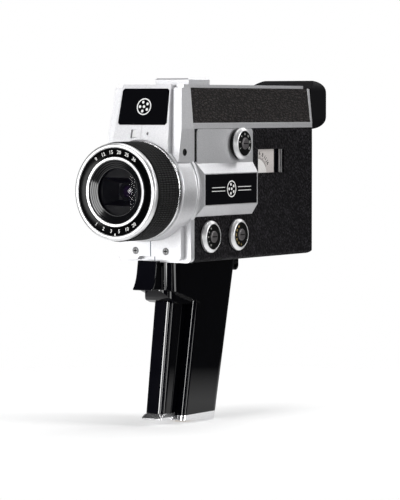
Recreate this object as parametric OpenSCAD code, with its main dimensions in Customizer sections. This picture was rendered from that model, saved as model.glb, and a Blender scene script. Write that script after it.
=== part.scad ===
// Hand-held cine camera with a pistol grip, as an assembly of separate pieces.
// Frame: +Z up, the lens looks along -Y, +X is the operator's left, where the controls are.
// The origin is the mouth of the tripod socket in the foot of the grip, on the plane of symmetry.

/* [Body] */
// Width of the camera body
body_w = 53; // [50:0.5:56]
// Height of the underside of the body above the tripod socket
body_z = 99.4; // [98:0.2:102]
// Height of the lower covers
cover_h = 81.6; // [80:0.1:83]
// Back of the lower covers, measured from the tripod socket
body_back = 115.2; // [110:0.2:120]
// Wall thickness of the moulded casings
wall = 2.2; // [1.8:0.1:2.6]

/* [Lens] */
// Height of the lens axis above the tripod socket
lens_z = 143.4; // [142:0.1:145]
// Front of the lens, measured forward from the tripod socket
lens_front = 74.3; // [72:0.1:76]
// Outer radius of the front bezel
bezel_r = 29.4; // [28.5:0.1:30]
// Outer radius of the ribbed zoom grip
zoom_r = 30; // [29.5:0.1:30.5]
// Outer radius of the fixed collar behind the zoom ring
collar_r = 31; // [30.6:0.1:31.5]

/* [Controls] */
// Radius of the three side knobs
knob_r = 9.8; // [9:0.1:10.5]
// Half-width of the trigger
trigger_half_w = 7.3; // [6:0.1:8]
// Radius of the tripod socket, a quarter-inch thread
socket_r = 3.175; // [3.1:0.005:3.25]

/* [Grip] */
// Half-width of the main grip
grip_half_w = 13; // [12:0.5:14]
// Half-width of the narrow column at the front of the grip
column_half_w = 7; // [6:0.5:7.5]

/* [Hidden] */
$fn = 96;

half_w = body_w / 2;
strip_z = body_z + cover_h;
strip_h = 3.2;
lid_z = 205.9;
lid_h = 1.9;
lid_half_w = 23.8;
upper_half_w = 24.2;
cover_front = -27;
upper_front = -27.8;
upper_back = 112.9;
inlay_z0 = strip_z + strip_h;
inlay_back = 110.7;
nose_base_z = 160.9;
shoulder_top_y = -37.4;
shoulder_base_y = -44.5;
plate_top_y = -39.7;
plate_base_y = -49.4;
plate_lean = atan2(plate_top_y - plate_base_y, lid_z - nose_base_z);
low_shoulder_y = -30.8;
low_plate_y = -35.4;
bulkhead_t = 3;
bulkhead_z1 = 178;
web_t = 1.6;
bulkhead_bore_r = 20;
low_plate_half_w = 22;
collar_front = -46;
collar_back = cover_front - 0.05;
pod_x = 31;
pod_back = 38.9;
pod_z0 = 127.4;
pod_z1 = 160.9;
pod_face_z0 = 133.9;
pod_face_z1 = 153.7;
panel_t = 0.7;
gauge_y0 = 46.3;
gauge_y1 = 77.5;
gauge_z0 = 152.7;
gauge_z1 = 167.6;
gauge_depth = 6.6;
shaft_r = 2;
fit_gap = 0.05;
seam = 0.05;
wide = 100;

// knob places: [y, z, x of the surface that it stands on, height, height of a black base]
upper_at = [21.2, 171.6, half_w + panel_t, 5.4, 2.2];
front_at = [-10.8, 114.9, half_w, 3.7, 0];
rear_at = [21, 115, half_w, 3.7, 0];

// ---- helpers ----

// A rectangle from corner to corner, with round corners.
module round_rect(x0, y0, x1, y1, r) {
    translate([x0 + r, y0]) square([x1 - x0 - 2 * r, y1 - y0]);
    translate([x0, y0 + r]) square([x1 - x0, y1 - y0 - 2 * r]);
    for (x = [x0 + r, x1 - r]) {
        for (y = [y0 + r, y1 - r]) translate([x, y]) circle(r);
    }
}

// Extrudes a side view, drawn as [y, z], across the width from x0 to x1.
module across(x0, x1) {
    translate([x0, 0, 0])
        rotate([90, 0, 90]) linear_extrude(x1 - x0) children();
}

// Extrudes a front view, drawn as [x, z], along the length from y0 to y1.
module along(y0, y1) {
    translate([0, y1, 0])
        rotate([90, 0, 0]) linear_extrude(y1 - y0) children();
}

// Turns a profile drawn as [radius, y] about the lens axis.
module lens_turned() {
    translate([0, 0, lens_z])
        rotate([-90, 0, 0]) rotate_extrude() children();
}

// A box from its lowest to its highest corner.
module box(a, b) {
    translate(a) cube(b - a);
}

module left_side() {
    intersection() {
        children();
        box([seam, -wide, 0], [wide, 2 * wide, 3 * wide]);
    }
}

module right_side() {
    intersection() {
        children();
        box([-wide, -wide, 0], [-seam, 2 * wide, 3 * wide]);
    }
}

// A disc or pin along +X.
module pin_x(x0, x1, r, y, z) {
    translate([x0, y, z]) rotate([0, 90, 0]) cylinder(h = x1 - x0, r = r);
}

// A disc or pin along +Y.
module pin_y(y0, y1, r, x, z) {
    translate([x, y1, z]) rotate([90, 0, 0]) cylinder(h = y1 - y0, r = r);
}

// ---- front casing ----

// Half front view of the nose, drawn full width: straight below the strip, leaning in above it.
module nose_front(inset) {
    top = lid_z - inset;
    w = half_w - inset;
    polygon([
        [-w, nose_base_z], [w, nose_base_z], [w, strip_z],
        [upper_half_w - inset, top], [inset - upper_half_w, top], [-w, strip_z]
    ]);
}

// Side view of the nose at its shoulders.
module nose_side(inset) {
    polygon([
        [shoulder_base_y + inset, nose_base_z], [cover_front, nose_base_z],
        [cover_front, strip_z], [upper_front, strip_z],
        [upper_front, lid_z - inset], [shoulder_top_y + inset, lid_z - inset]
    ]);
}

module nose(inset) {
    intersection() {
        across(-half_w, half_w) nose_side(inset);
        along(-60, 0) nose_front(inset);
    }
}

plate_top_z = 207.8;

// The raised plate on the nose, which carries the front nameplate.
module nose_plate() {
    intersection() {
        across(-half_w, half_w)
            polygon([
                [plate_base_y, nose_base_z], [shoulder_base_y + 1, nose_base_z],
                [shoulder_top_y + 2.4, lid_z], [shoulder_top_y + 2.8, plate_top_z],
                [plate_top_y + 0.4, plate_top_z]
            ]);
        along(-60, 0)
            polygon([[-21.3, nose_base_z], [21.3, nose_base_z], [17.5, plate_top_z], [-17.5, plate_top_z]]);
    }
}

module low_front() {
    along(low_shoulder_y, cover_front)
        round_rect(-half_w, body_z, half_w, nose_base_z, 3.4);
    // the raised lower plate, with a notch over the trigger
    along(low_plate_y, low_shoulder_y)
        difference() {
            round_rect(-low_plate_half_w, body_z + 1.8, low_plate_half_w, 130, 2.4);
            polygon([[-9.5, 90], [9.5, 90], [9.5, 101.4], [7.9, 103.2], [-7.9, 103.2], [-9.5, 101.4]]);
        }
}

// A hole for a panel-head screw in the lower front, and its place.
front_screw_x = 11.1;
front_screw_z = 106.4;
side_screw_y = -37.6;
side_screw_z = 166.9;
screw_head_r = 2.2;
screw_r = 1.2;

module front_casing() {
    color("silver")
        difference() {
            union() {
                difference() {
                    union() {
                        nose(0);
                        nose_plate();
                        low_front();
                    }
                    // hollow of the nose, but for a web round the lens, and of the lower front
                    difference() {
                        nose(wall);
                        box([-wide, cover_front - web_t, 90], [wide, 0, bulkhead_z1]);
                    }
                    along(low_plate_y + wall, cover_front - web_t)
                        round_rect(wall - low_plate_half_w, body_z + wall + 1.8, low_plate_half_w - wall, 130, 1);
                }
                // bulkhead that holds the lens, inside the front edge of the covers
                along(cover_front - 0.6, cover_front - 0.6 + bulkhead_t)
                    round_rect(wall - half_w + fit_gap, body_z + wall + fit_gap, half_w - wall - fit_gap,
                        bulkhead_z1, 1.5);
            }
            pin_y(-60, cover_front, collar_r, 0, lens_z);
            pin_y(lip_front - 0.4, cover_front, lip_r, 0, lens_z);
            pin_y(-60, 0, bulkhead_bore_r + fit_gap, 0, lens_z);
            // recess for the front nameplate
            front_nameplate_at() along(-0.6, 1)
                polygon([
                    [-16.6, -0.6], [16.6, -0.6], [17.9, 0.7], [17.1, 20.7], [15.8, 22], [-15.8, 22],
                    [-17.1, 20.7], [-17.9, 0.7]
                ]);
            // sensor window and microphone hole
            front_nameplate_at() along(-2, 1.4) round_rect(-7.4, -8.9, -3.6, -3.5, 0.5);
            front_nameplate_at() pin_y(-2, 1.4, 0.9, 4.9, -6);
            for (s = [-1, 1]) {
                pin_y(-36, -20, screw_r + fit_gap, s * front_screw_x, front_screw_z);
                pin_y(low_plate_y - 1, low_plate_y + 0.6, screw_head_r + 0.1, s * front_screw_x, front_screw_z);
                pin_x(min(s * 30, s * 20), max(s * 30, s * 20), screw_r + fit_gap, side_screw_y, side_screw_z);
                pin_x(min(s * 30, s * 25.9), max(s * 30, s * 25.9), screw_head_r + 0.1, side_screw_y, side_screw_z);
            }
        }
}

module front_casing_left() {
    left_side() front_casing();
}

module front_casing_right() {
    right_side() front_casing();
}

// Places a drawing on the sloping front plate: y runs out of the plate, z up it.
module front_nameplate_at() {
    slope_y = plate_base_y + (183.9 - nose_base_z) * tan(plate_lean);
    translate([0, slope_y, 183.9]) rotate([-plate_lean, 0, 0]) children();
}

module front_nameplate() {
    color("black")
        front_nameplate_at() along(-0.2, 0.6)
            polygon([
                [-16.5, -0.5], [16.5, -0.5], [17.8, 0.8], [17, 20.6], [15.7, 21.9], [-15.7, 21.9],
                [-17, 20.6], [-17.8, 0.8]
            ]);
}

// ---- lower covers ----

module cover_solid(inset) {
    r = 3.4;
    back_r = 6;
    intersection() {
        along(cover_front, body_back)
            difference() {
                round_rect(inset - half_w, body_z + inset, half_w - inset, strip_z + 10, r - inset);
                translate([-wide, strip_z]) square([2 * wide, 30]);
            }
        across(-half_w, half_w) {
            translate([body_back - back_r, body_z + back_r]) circle(back_r - inset);
            polygon([
                [-60, body_z + inset], [body_back - back_r, body_z + inset],
                [body_back - inset, body_z + back_r], [upper_back - inset, strip_z + 10], [-60, strip_z + 10]
            ]);
        }
        translate([0, 0, 90]) linear_extrude(120)
            round_rect(inset - half_w, -60, half_w - inset, body_back - inset, r - inset);
    }
}

slider_x = 9;
slider_z = 150;
slider_travel = 5.4;
slider_tongue = 9.2;
slider_y = body_back - (body_back - upper_back) * (slider_z - body_z) / (strip_z - body_z);
port_y = 62;
port_z = 132;
wire_y = 24;
wire_r = 4;

module cover_shell() {
    difference() {
        cover_solid(0);
        translate([0, -0.01, 0]) cover_solid(wall);
        // wires to the grip
        translate([0, wire_y, 90]) cylinder(h = 20, r = wire_r);
    }
}

module side_cover_left() {
    color("dimgray")
        difference() {
            left_side() cover_shell();
            for (k = [upper_at, front_at, rear_at]) {
                pin_x(20, 40, shaft_r + fit_gap, k[0], k[1]);
            }
            across(20, 40) square_at(gauge_y0, gauge_z0, gauge_y1, gauge_z1);
            along(slider_y - 5, slider_y + 5)
                square_at(slider_x - 6, slider_z - 2.4, slider_x + 6, slider_z + 2.4);
        }
}

module square_at(x0, y0, x1, y1) {
    translate([x0, y0]) square([x1 - x0, y1 - y0]);
}

module side_cover_right() {
    color("dimgray")
        difference() {
            right_side() cover_shell();
            // pocket for the port flap, with the two port openings in its floor
            across(-half_w - 1, 1 - half_w) round_rect(port_y - 12.8, port_z - 6, port_y + 12.8, port_z + 6, 1.4);
            across(-half_w - 1, 1 - half_w) square_at(port_y - 12.8, port_z - 6, port_y + 12.8, port_z - 3);
            pin_y(port_y - flap_half_l - 1.6, port_y + flap_half_l + 1.6, 0.35, flap_x, flap_z);
            across(-half_w - 1, 5 - half_w) round_rect(port_y - 9, port_z - 1.7, port_y + 0.2, port_z + 1.7, 1.6);
            across(-half_w - 1, 5 - half_w) square_at(port_y + 2.6, port_z - 0.8, port_y + 11, port_z + 0.8);
        }
}

module port_sockets() {
    color("silver")
        difference() {
            across(wall - half_w, wall - half_w + 7.4) round_rect(port_y - 9.4, port_z - 2.1, port_y + 0.6, port_z + 2.1, 1.9);
            across(wall - half_w - 1, wall - half_w + 6.2) round_rect(port_y - 8.9, port_z - 1.6, port_y + 0.1, port_z + 1.6, 1.5);
        }
    color("silver")
        across(wall - half_w, wall - half_w + 11) square_at(port_y + 1.4, port_z - 1, port_y + 13.4, port_z + 1);
}

flap_t = 0.9;
flap_half_l = 12.6;
flap_x = flap_t / 2 - half_w;
flap_z = port_z - 5.25;

// The flap turns on pins at the ends of its rounded lower edge.
module port_flap() {
    color("black") {
        intersection() {
            across(-half_w, flap_t - half_w)
                round_rect(port_y - flap_half_l, flap_z - 3, port_y + flap_half_l, port_z + 5.7, 1.3);
            box([-half_w - 1, 0, flap_z], [0, wide, port_z + 6]);
        }
        pin_y(port_y - flap_half_l, port_y + flap_half_l, flap_t / 2, flap_x, flap_z);
        pin_y(port_y - flap_half_l - 1.4, port_y + flap_half_l + 1.4, 0.3, flap_x, flap_z);
    }
}

module power_slider() {
    x = slider_x - slider_travel / 2;
    color("silver") {
        along(slider_y - wall + 0.2, slider_y + 1.6)
            round_rect(x - 3.2, slider_z - 2.2, x + 3.2, slider_z + 2.2, 0.8);
        along(slider_y - wall - 1.6, slider_y - wall - 0.3)
            square_at(x - slider_tongue, slider_z - 3.4, x + slider_tongue, slider_z + 3.4);
        along(slider_y - wall - 0.4, slider_y - wall + 0.3)
            square_at(x - 2.6, slider_z - 1.8, x + 2.6, slider_z + 1.8);
    }
}

// ---- upper cover, lid and leather ----

module upper_section(inset) {
    polygon([
        [inset - half_w, strip_z], [half_w - inset, strip_z],
        [half_w - inset, inlay_z0], [upper_half_w - inset, lid_z],
        [inset - upper_half_w, lid_z], [inset - half_w, inlay_z0]
    ]);
}

eyepiece_z = 195.4;
eyepiece_r = 9;

// A shell, with two ears under its roof that hold the pin of the rocker.
module top_cover() {
    color("silver")
        difference() {
            union() {
                difference() {
                    along(upper_front, upper_back) upper_section(0);
                    intersection() {
                        along(upper_front - 1, upper_back - wall) upper_section(wall);
                        box([-wide, -wide, strip_z - 1], [wide, 2 * wide, lid_z - 1.2]);
                    }
                }
                for (x = [-7, 4.6]) {
                    box([x, rocker_y - 2.4, rocker_pivot_z], [x + 2.4, rocker_y + 2.4, lid_z - 1]);
                    pin_x(x, x + 2.4, 2.4, rocker_y, rocker_pivot_z);
                }
            }
            pin_x(-8, 8, 1 + fit_gap, rocker_y, rocker_pivot_z);
            inlay_solid(0.7);
            pin_y(upper_back - 5, upper_back + 5, eyepiece_r + fit_gap, 0, eyepiece_z);
            // opening for the stem of the rocker
            box([-4.4, rocker_y - 3.8, lid_z - 3], [4.4, rocker_y + 3.8, lid_z + 1]);
        }
}

// The leather strips, sunk by depth into both leaning sides.
module inlay_solid(depth) {
    intersection() {
        across(-half_w - 5, half_w + 5)
            polygon([
                [upper_front - 0.01, inlay_z0 + 0.3], [inlay_back, inlay_z0 + 0.3],
                [inlay_back - 0.8, lid_z + 0.01], [upper_front - 0.01, lid_z + 0.01]
            ]);
        difference() {
            along(upper_front - 0.01, upper_back) upper_section(-0.01);
            along(upper_front - 1, upper_back + 1) upper_section(depth);
        }
    }
}

module leather_inlays() {
    color("dimgray")
        intersection() {
            across(-half_w, half_w)
                polygon([
                    [upper_front, inlay_z0 + 0.3], [inlay_back, inlay_z0 + 0.3],
                    [inlay_back - 0.8, lid_z], [upper_front, lid_z]
                ]);
            difference() {
                along(upper_front, upper_back) upper_section(0);
                along(upper_front - 1, upper_back + 1) upper_section(0.7);
            }
        }
}

rocker_y = 0.2;
rocker_half_l = 11.9;
rocker_half_w = 12.4;
rocker_pivot_z = 202.4;
lid_back = 108;

module top_plate() {
    color("silver")
        difference() {
            translate([0, 0, lid_z]) linear_extrude(lid_h)
                difference() {
                    round_rect(-lid_half_w, -44, lid_half_w, lid_back, 3);
                    square_at(-wide, -60, wide, shoulder_top_y + 2.6);
                }
            // well for the zoom rocker
            translate([0, 0, lid_z - 1]) linear_extrude(5)
                round_rect(-rocker_half_w - 0.4, rocker_y - rocker_half_l - 0.4, rocker_half_w + 0.4,
                    rocker_y + rocker_half_l + 0.4, 0.5);
        }
}

module zoom_rocker() {
    top = 211.9;
    color("silver") {
        intersection() {
            across(-rocker_half_w, rocker_half_w)
                polygon([
                    [rocker_y - rocker_half_l, lid_z + 1.6], [rocker_y + rocker_half_l, lid_z + 1.6],
                    [rocker_y + rocker_half_l, top - 1.2], [rocker_y + rocker_half_l - 1.4, top],
                    [rocker_y - rocker_half_l + 0.8, top], [rocker_y - rocker_half_l, top - 0.8]
                ]);
            along(rocker_y - rocker_half_l, rocker_y + rocker_half_l)
                polygon([
                    [-rocker_half_w, lid_z], [rocker_half_w, lid_z], [rocker_half_w, top - 0.8],
                    [rocker_half_w - 0.8, top], [0.8 - rocker_half_w, top], [-rocker_half_w, top - 0.8]
                ]);
        }
        box([-4, rocker_y - 2.6, rocker_pivot_z], [4, rocker_y + 2.6, lid_z + 1.7]);
        pin_x(-4, 4, 2.6, rocker_y, rocker_pivot_z);
        pin_x(-6.4, 6.4, 1, rocker_y, rocker_pivot_z);
    }
}

// ---- control pod ----

module control_pod() {
    color("silver")
        difference() {
            union() {
                intersection() {
                    along(cover_front, pod_back)
                        polygon([
                            [half_w, pod_z0], [pod_x, pod_face_z0],
                            [pod_x, pod_face_z1], [half_w, pod_z1]
                        ]);
                    translate([0, 0, 100]) linear_extrude(100)
                        polygon([
                            [half_w, -26.2], [pod_x, -22.6], [pod_x, pod_back - 0.3],
                            [half_w, pod_back]
                        ]);
                }
                across(half_w, half_w + panel_t)
                    difference() {
                        round_rect(-25, pod_z1 - 10, pod_back, strip_z - 0.2, 2.6);
                        square_at(-wide, 0, 2 * wide, pod_z1 - 1.5);
                    }
            }
            // hollow under the pod, recess for its nameplate, and the shaft hole of the upper knob
            across(half_w - 1, pod_x - 1.6) square_at(-14, pod_face_z0 + 1, pod_back - 3, pod_face_z1 - 1);
            across(pod_x - 0.6, pod_x + 1) square_at(-21.7, pod_face_z0 + 0.5, 37.7, pod_face_z1 - 0.5);
            pin_x(20, 40, shaft_r + fit_gap, upper_at[0], upper_at[1]);
        }
}

module pod_nameplate() {
    color("black")
        across(pod_x - 0.6, pod_x + 0.1) square_at(-21.6, pod_face_z0 + 0.6, 37.6, pod_face_z1 - 0.6);
}

// ---- knobs ----

// Body of a knob: a turned ring with a bevelled rim and a recess, on a shaft through the cover.
module knob_body(at) {
    h = at[3];
    b = at[4];
    translate([at[2], at[0], at[1]]) rotate([0, 90, 0]) {
        rotate_extrude()
            polygon([
                [0, 0.2], [knob_r - 0.2, 0.2], [knob_r, 0.5 + b], [knob_r, h - 1.5], [knob_r - 1.9, h],
                [knob_r - 2.1, h], [knob_r - 2.1, h - 0.6], [0, h - 0.6]
            ]);
        translate([0, 0, -7]) cylinder(h = 7.3, r = shaft_r);
    }
}

module knob_dial(at) {
    translate([at[2] + at[3] - 0.6, at[0], at[1]]) rotate([0, 90, 0])
        rotate_extrude() polygon([[3.6, 0], [knob_r - 2.15, 0], [knob_r - 2.15, 0.4], [3.6, 0.4]]);
}

module knob_cap(at) {
    translate([at[2] + at[3] - 0.6, at[0], at[1]]) rotate([0, 90, 0])
        rotate_extrude() polygon([[0, 0], [3.55, 0], [3.55, 0.9], [3.1, 1.3], [0, 1.5]]);
}

module upper_knob() { color("silver") knob_body(upper_at); }
module upper_dial() { color("black") knob_dial(upper_at); }
module upper_knob_cap() { color("gray") knob_cap(upper_at); }
module front_knob() { color("silver") knob_body(front_at); }
module front_dial() { color("black") knob_dial(front_at); }
module front_knob_cap() { color("gray") knob_cap(front_at); }
module rear_knob() { color("silver") knob_body(rear_at); }
module rear_dial() { color("black") knob_dial(rear_at); }
module rear_knob_cap() { color("gray") knob_cap(rear_at); }

// The switches that the knobs turn: a housing inside the cover round each shaft's end.
module rotary_switches() {
    color("royalblue")
        for (k = [upper_at, front_at, rear_at]) {
            difference() {
                across(half_w - wall - 7, half_w - wall)
                    round_rect(k[0] - 6.5, k[1] - 6.5, k[0] + 6.5, k[1] + 6.5, 1);
                pin_x(k[2] - 7.4, 40, shaft_r + fit_gap, k[0], k[1]);
            }
        }
}

// ---- gauge ----

module gauge_window() {
    color("lightcyan", 0.4)
        across(half_w - 1, half_w - 0.3) square_at(gauge_y0, gauge_z0, gauge_y1, gauge_z1);
}

needle_y = 50.8;
needle_z = 149.6;
needle_l = 14.2;
face_x = half_w - wall - 1.4;
face_back_y = 71;
gauge_well_z = 147.4;

// A tray behind the window, with the drum of the moving coil on its back.
module gauge_housing() {
    color("black")
        difference() {
            across(half_w - gauge_depth - 1.4, half_w - wall)
                square_at(gauge_y0 - 1.4, gauge_well_z - 1.4, gauge_y1 + 1.4, gauge_z1 + 1.4);
            across(half_w - gauge_depth, half_w)
                square_at(gauge_y0, gauge_well_z, gauge_y1, gauge_z1);
            pin_x(half_w - 14, half_w, 0.65, needle_y, needle_z);
        }
    color("gray")
        difference() {
            pin_x(half_w - gauge_depth - 6, half_w - gauge_depth - 1.4, 5.5, needle_y, needle_z);
            pin_x(half_w - 14, half_w, 0.65, needle_y, needle_z);
        }
}

module gauge_face() {
    color("white")
        difference() {
            across(face_x - 0.4, face_x)
                square_at(gauge_y0, gauge_well_z, face_back_y, gauge_z1);
            pin_x(half_w - 14, half_w, 0.65, needle_y, needle_z);
        }
}

module gauge_needle() {
    color("black") {
        pin_x(half_w - gauge_depth - 4, face_x + 0.9, 0.6, needle_y, needle_z);
        pin_x(face_x + 0.3, face_x + 0.9, 1.3, needle_y, needle_z);
        translate([face_x + 0.4, needle_y, needle_z]) rotate([12, 0, 0])
            box([0, -0.2, 0], [0.4, 0.2, needle_l]);
    }
}

// ---- eyepiece ----

module eyepiece_tube() {
    color("black")
        difference() {
            union() {
                pin_y(upper_back - 26, upper_back + 8, eyepiece_r, 0, eyepiece_z);
                along(upper_back, upper_back + 2) round_rect(-17, 184, 17, 206.6, 4);
            }
            pin_y(upper_back - 27, upper_back + 9, 7.4, 0, eyepiece_z);
        }
}

module eyepiece_lens() {
    color("lightcyan", 0.4)
        translate([0, upper_back + 6.6, eyepiece_z]) rotate([90, 0, 0])
            rotate_extrude() polygon([[0, -1.2], [4, -0.9], [7.35, 0], [7.35, 2], [4, 2.7], [0, 3]]);
}

module finder_display() {
    color("darkslategray") {
        along(upper_back - 25.4, upper_back - 24.4) square_at(-4.9, eyepiece_z - 3.8, 4.9, eyepiece_z + 3.8);
        along(upper_back - 28, upper_back - 26) square_at(-10, eyepiece_z - 8.6, 10, eyepiece_z + 8.6);
    }
}

cup_half_w = 24;
cup_z0 = 179.8;
cup_z1 = 211.4;
cup_depth = 22;

module eyecup() {
    y0 = upper_back + 2.1;
    back = upper_back + cup_depth;
    color("black")
        difference() {
            intersection() {
                across(-cup_half_w, cup_half_w)
                    intersection() {
                        polygon([
                            [y0, cup_z0 + 1.6], [y0, cup_z1 - 5], [back - 8, cup_z1], [back, cup_z1],
                            [back, cup_z0], [y0 + 4, cup_z0]
                        ]);
                        round_rect(y0 - 30, cup_z0, back, cup_z1, 9);
                    }
                along(y0, back) round_rect(-cup_half_w, cup_z0, cup_half_w, cup_z1, 7);
            }
            // the cup, open to the back, and the hole for the eyepiece tube
            along(y0 + 5, back + 1) round_rect(3.2 - cup_half_w, cup_z0 + 3.2, cup_half_w - 3.2, cup_z1 - 3.2, 5);
            pin_y(y0 - 1, back, eyepiece_r, 0, eyepiece_z);
        }
}

// ---- lens ----

lip_r = collar_r + 0.9;
lip_front = -30.2;

module lens_collar() {
    color("silver")
        lens_turned()
            polygon([
                [27.65, collar_front + 0.3], [collar_r - 1, collar_front + 0.3],
                [collar_r - 0.3, collar_front + 0.6], [collar_r, collar_front + 1.2],
                // rolled lip in front of the covers
                [collar_r, lip_front - 0.4], [lip_r - 0.3, lip_front], [lip_r, lip_front + 0.6],
                [lip_r, collar_back - 0.8], [lip_r - 0.3, collar_back - 0.25],
                [collar_r, collar_back], [27.65, collar_back]
            ]);
}

module lens_barrel() {
    color("black")
        lens_turned()
            polygon([
                [21.2, -lens_front + 2], [26.2, -lens_front + 2], [26.2, -lens_front + 5.2],
                [27.6, -lens_front + 5.2], [27.6, cover_front - 0.65], [bulkhead_bore_r, cover_front - 0.65],
                [bulkhead_bore_r, -22], [18, -22], [18, -30], [24, -31], [24, -60], [21.2, -60]
            ]);
}

module zoom_sleeve() {
    color("silver")
        lens_turned()
            polygon([
                [27.66, -69.9], [28.6, -69.9], [28.6, -49], [zoom_r, -49],
                [zoom_r + 0.2, -48.7], [zoom_r + 0.2, -46.6], [zoom_r - 0.2, -46.3], [27.66, -46.3]
            ]);
}

module zoom_grip() {
    color("black")
        lens_turned()
            polygon([
                [28.6, -69.9], [zoom_r - 0.4, -69.9], [zoom_r, -69.5],
                [zoom_r, -49.5], [zoom_r - 0.4, -49.1], [28.6, -49.1]
            ]);
}

module front_bezel() {
    color("silver")
        lens_turned()
            polygon([
                [26.4, -lens_front + 0.5], [26.9, -lens_front], [28, -lens_front],
                [28.9, -lens_front + 0.4], [bezel_r, -lens_front + 1.4], [bezel_r, -70.6],
                [28.9, -70.2], [27.65, -70.2], [27.65, -lens_front + 5.2], [26.4, -lens_front + 1.9]
            ]);
}

module name_ring() {
    color("black")
        lens_turned()
            polygon([
                [21.1, -lens_front + 1.2], [26.35, -lens_front + 0.8],
                [26.35, -lens_front + 2], [21.1, -lens_front + 2]
            ]);
}

module trim_ring() {
    color("silver")
        lens_turned()
            polygon([
                [19.2, -lens_front + 1.2], [19.8, -lens_front + 0.4], [20.6, -lens_front + 0.4],
                [21.05, -lens_front + 1], [21.05, -lens_front + 4], [19.2, -lens_front + 4]
            ]);
}

glass_y = -70.6;

module lens_cone() {
    color("black")
        lens_turned()
            polygon([
                [19.15, -lens_front + 1.6], [14.4, glass_y - 0.6], [14.4, glass_y], [15, glass_y],
                [15, -60], [21, -60], [21, -lens_front + 4.1], [19.15, -lens_front + 4.1]
            ]);
}

module front_glass() {
    color("lightcyan", 0.3)
        lens_turned()
            polygon([
                [0, glass_y - 0.2], [5, glass_y - 0.1], [10, glass_y + 0.1], [14.9, glass_y + 0.4],
                [14.9, glass_y + 2], [0, glass_y + 2]
            ]);
}

baffle_front = glass_y + 2.2;
baffle_back = -58;

// A rectangular light trap that narrows towards the small taking lens.
module light_baffle() {
    color("black")
        difference() {
            lens_turned()
                polygon([[0, baffle_front], [14.9, baffle_front], [14.9, baffle_back], [0, baffle_back]]);
            translate([0, 0, lens_z])
                hull() {
                    box([-12.4, baffle_front - 0.01, -8.4], [12.4, baffle_front, 8.4]);
                    box([-5.6, baffle_back - 3, -5], [5.6, baffle_back - 2.9, 5]);
                }
            pin_y(baffle_back - 4, baffle_back + 1, 5.6, 0, lens_z);
        }
}

module taking_lens_barrel() {
    color("black")
        lens_turned()
            polygon([
                [3.6, baffle_back - 2.8], [5.5, baffle_back - 2.8], [5.5, baffle_back + 0.2],
                [7, baffle_back + 0.2], [7, baffle_back + 10], [3.6, baffle_back + 10]
            ]);
}

module taking_lens_glass() {
    color("lightcyan", 0.3)
        for (y = [0, 4.5, 9]) {
            translate([0, y, 0]) lens_turned()
                polygon([
                    [0, baffle_back - 2.5], [2, baffle_back - 2.3], [3.55, baffle_back - 1.8],
                    [3.55, baffle_back - 0.6], [0, baffle_back - 0.6]
                ]);
        }
}

module sensor_board() {
    color("darkgreen")
        along(-38, -36.4) square_at(-14, lens_z - 14, 14, lens_z + 14);
    color("black")
        difference() {
            along(-46, -38) round_rect(-9, lens_z - 9, 9, lens_z + 9, 1);
            along(-47, -37) square_at(-6.9, lens_z - 6.9, 6.9, lens_z + 6.9);
        }
    color("gray")
        along(-39.2, -38) square_at(-4, lens_z - 3, 4, lens_z + 3);
}

module main_board() {
    color("darkgreen")
        across(-12.8, -11.2) square_at(-12, 118, 104, 176);
    color("black") {
        across(-11.2, -9.8) square_at(10, 140, 24, 154);
        across(-11.2, -10) square_at(34, 142, 44, 150);
        across(-11.2, -6) square_at(52, 150, 62, 164);
    }
    color("silver")
        across(-11.2, -8) square_at(84, 122, 98, 132);
}

// ---- grip ----

grip_top = body_z;
grip_foot_z = 4.6;
lean_front = 0.186;
lean_back = 0.236;
grip_front_y = -17.6;
grip_back_y = 22.7;
column_front_y = -32.4;
column_lean = 0.146;
column_top = 74;
column_foot_z = 6.6;

// A thin slice of the main grip at a height, shrunk by inset.
module grip_slice(z, inset, t) {
    y0 = grip_front_y + lean_front * (z - grip_foot_z) + inset;
    y1 = grip_back_y + lean_back * (z - grip_foot_z) - inset;
    w = grip_half_w - inset;
    r = 7.5 - inset;
    translate([0, 0, z]) linear_extrude(t) {
        translate([0, y1 - r]) square([2 * (w - r), 2 * r], center = true);
        for (s = [-1, 1]) {
            translate([s * (w - r), y1 - r]) circle(r, $fn = 40);
            translate([s * (w - 3), y0 + 3]) circle(3, $fn = 24);
        }
    }
}

module grip_solid(inset, z0, z1) {
    hull() {
        grip_slice(z0, inset, 0.01);
        grip_slice(z1 - 0.01, inset, 0.01);
    }
}

module grip_shell() {
    difference() {
        grip_solid(0, grip_foot_z, grip_top);
        grip_solid(2, grip_foot_z - 1, grip_top - 3);
        block(0);
        translate([0, wire_y, 80]) cylinder(h = 30, r = wire_r);
    }
}

module grip_left() {
    color("black") left_side() grip_shell();
}

module grip_right() {
    color("black") right_side() grip_shell();
}

module column_slice(z, inset) {
    y0 = column_front_y + column_lean * (z - column_foot_z);
    y1 = grip_front_y + lean_front * (z - grip_foot_z);
    w = column_half_w - inset;
    r = 3.6 - inset;
    translate([0, 0, z]) linear_extrude(0.01) {
        translate([-w, y1 - 1]) square([2 * w, 1]);
        for (s = [-1, 1]) translate([s * (w - r), y0 + inset + r]) circle(r, $fn = 32);
    }
}

module grip_column() {
    color("black")
        difference() {
            hull() {
                column_slice(column_foot_z, 0);
                column_slice(column_top + 4, 0);
            }
            block(0);
        }
}

// Side view of the block that carries the trigger: a nose at the front and a curved underside.
block_half_w = 14;
web_half_w = 10.6;

// A body seen from above with round front corners of radius r, cut to a side view.
module block_layer(half, front_y, r) {
    intersection() {
        across(-half, half) children();
        translate([0, 0, 60]) linear_extrude(60) round_rect(-half, front_y, half, 40, r);
    }
}

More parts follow.
